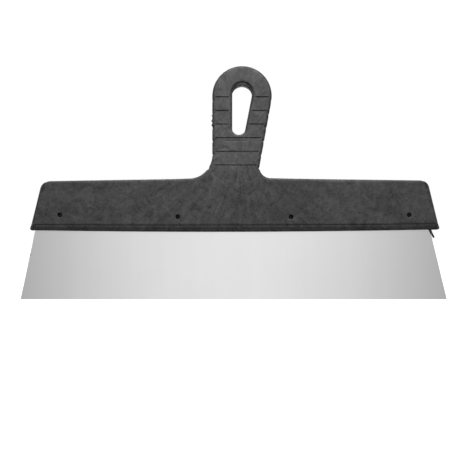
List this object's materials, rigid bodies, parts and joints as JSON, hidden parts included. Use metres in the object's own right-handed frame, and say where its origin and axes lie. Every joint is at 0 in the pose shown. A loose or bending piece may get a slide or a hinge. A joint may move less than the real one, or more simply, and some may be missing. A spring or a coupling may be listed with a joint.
{
  "type": "flexible putty knife",
  "caption": "Wide flexible putty knife: a thin trapezoid spring-steel blade pinned in a moulded crossbar with a short grooved grip and a hanging slot.",
  "frame": {"origin": "middle of the working edge, at mid-thickness", "axes": "+X along the working edge to the right seen from the front, +Y from the front face to the back face, +Z from the working edge up to the hanging slot"},
  "size_m": [0.35, 0.0186, 0.1897],
  "materials": {
    "handle_plastic": "satin black polypropylene with moulding flow marks",
    "blade_steel": "finely ground stainless spring steel",
    "pin_steel": "dull plain steel"
  },
  "bodies": {
    "handle": {"handle": "handle_plastic", "blade_pin_1": "pin_steel", "blade_pin_2": "pin_steel", "blade_pin_3": "pin_steel", "blade_pin_4": "pin_steel"},
    "blade": {"blade": "blade_steel"}
  },
  "joints": [
    {"name": "blade_flex", "type": "hinge", "parent": "handle", "child": "blade", "pos_m": [0, 0, 0.0471], "axis": [1, 0, 0], "range_deg": [-15, 15], "stiffness_Nm_per_rad": 28.8, "deforming": ["blade"]}
  ]
}
